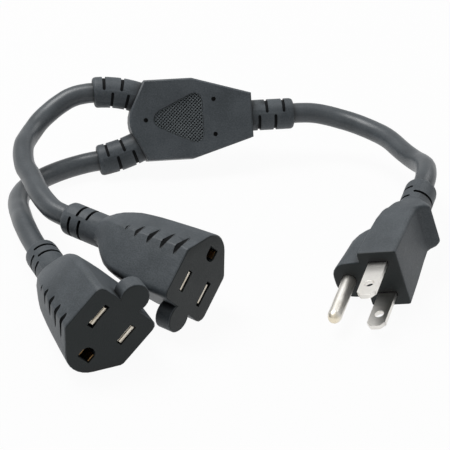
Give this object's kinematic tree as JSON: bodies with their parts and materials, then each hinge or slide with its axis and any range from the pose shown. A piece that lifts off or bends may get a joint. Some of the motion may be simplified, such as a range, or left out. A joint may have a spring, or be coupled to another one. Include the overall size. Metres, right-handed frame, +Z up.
{
  "type": "power cord splitter",
  "caption": "Short power cord that splits one grounded plug into two grounded sockets through a flat joint block.",
  "frame": {"origin": "on the table, under the middle of the bounding box of the rigid pieces", "axes": "+Z up, +Y away from the sockets' and plug's faces towards the joint block, +X towards the plug"},
  "size_m": [0.1507, 0.1596, 0.033],
  "materials": {
    "shell": "satin soft moulded, fine grain",
    "jacket": "smooth satin",
    "insert": "hard moulded, matt",
    "nickel": "nickel plated, bright",
    "contact": "pressed spring metal",
    "line_wire": "smooth insulation, black",
    "neutral_wire": "smooth insulation, white",
    "ground_wire": "smooth insulation, green"
  },
  "bodies": {
    "root": {"plug_overmould": "shell", "plug_blade_holder": "insert", "line_blade": "nickel", "neutral_blade": "nickel", "ground_pin": "nickel", "joint_overmould": "shell", "joint_splice_carrier": "insert", "line_splice": "contact", "neutral_splice": "contact", "ground_splice": "contact", "front_socket_overmould": "shell", "front_contact_block": "insert", "front_neutral_contact": "contact", "front_line_contact": "contact", "front_ground_contact": "contact", "rear_socket_overmould": "shell", "rear_contact_block": "insert", "rear_neutral_contact": "contact", "rear_line_contact": "contact", "rear_ground_contact": "contact", "plug_cord_jacket": "jacket", "plug_line_wire": "line_wire", "plug_neutral_wire": "neutral_wire", "plug_ground_wire": "ground_wire", "front_cord_jacket": "jacket", "front_line_wire": "line_wire", "front_neutral_wire": "neutral_wire", "front_ground_wire": "ground_wire", "rear_cord_jacket": "jacket", "rear_line_wire": "line_wire", "rear_neutral_wire": "neutral_wire", "rear_ground_wire": "ground_wire"}
  },
  "joints": []
}
